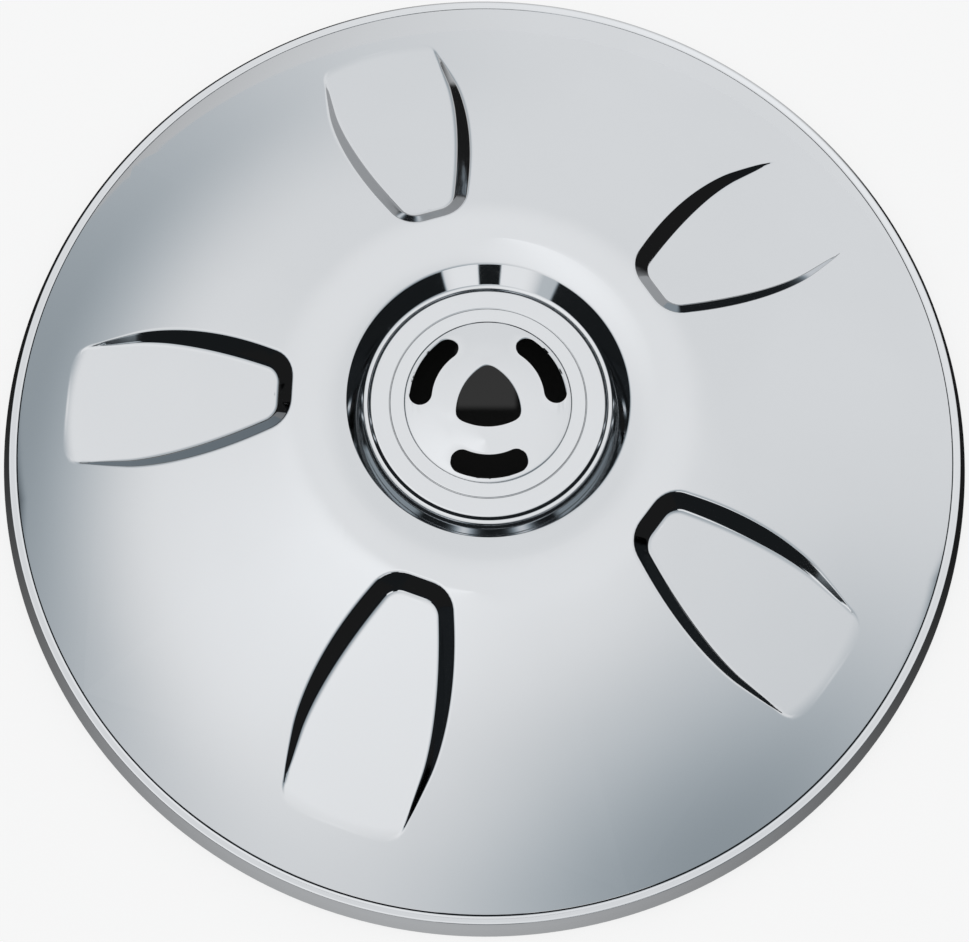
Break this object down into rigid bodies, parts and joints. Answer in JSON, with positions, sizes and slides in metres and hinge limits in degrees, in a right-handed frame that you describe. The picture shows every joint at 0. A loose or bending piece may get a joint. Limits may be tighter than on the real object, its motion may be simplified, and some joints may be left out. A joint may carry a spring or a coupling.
{
  "type": "wheel axle hub cover",
  "caption": "Round domed cover pressed from bright sheet metal, with a rolled edge, scoops around a stepped hub well, a vented centre dome and spring clips behind.",
  "frame": {"origin": "centre of the circle on which the rolled edge's foot rests", "axes": "+Z along the wheel's axis, out of the face; +Y towards the centre opening's upper corner"},
  "size_m": [0.4298, 0.4298, 0.0658],
  "materials": {
    "bright_steel": "mirror polished",
    "spring_steel": "plain rolled"
  },
  "bodies": {
    "root": {"cover": "bright_steel", "clip_1": "spring_steel", "clip_2": "spring_steel", "clip_3": "spring_steel", "clip_4": "spring_steel", "clip_5": "spring_steel"}
  },
  "joints": []
}
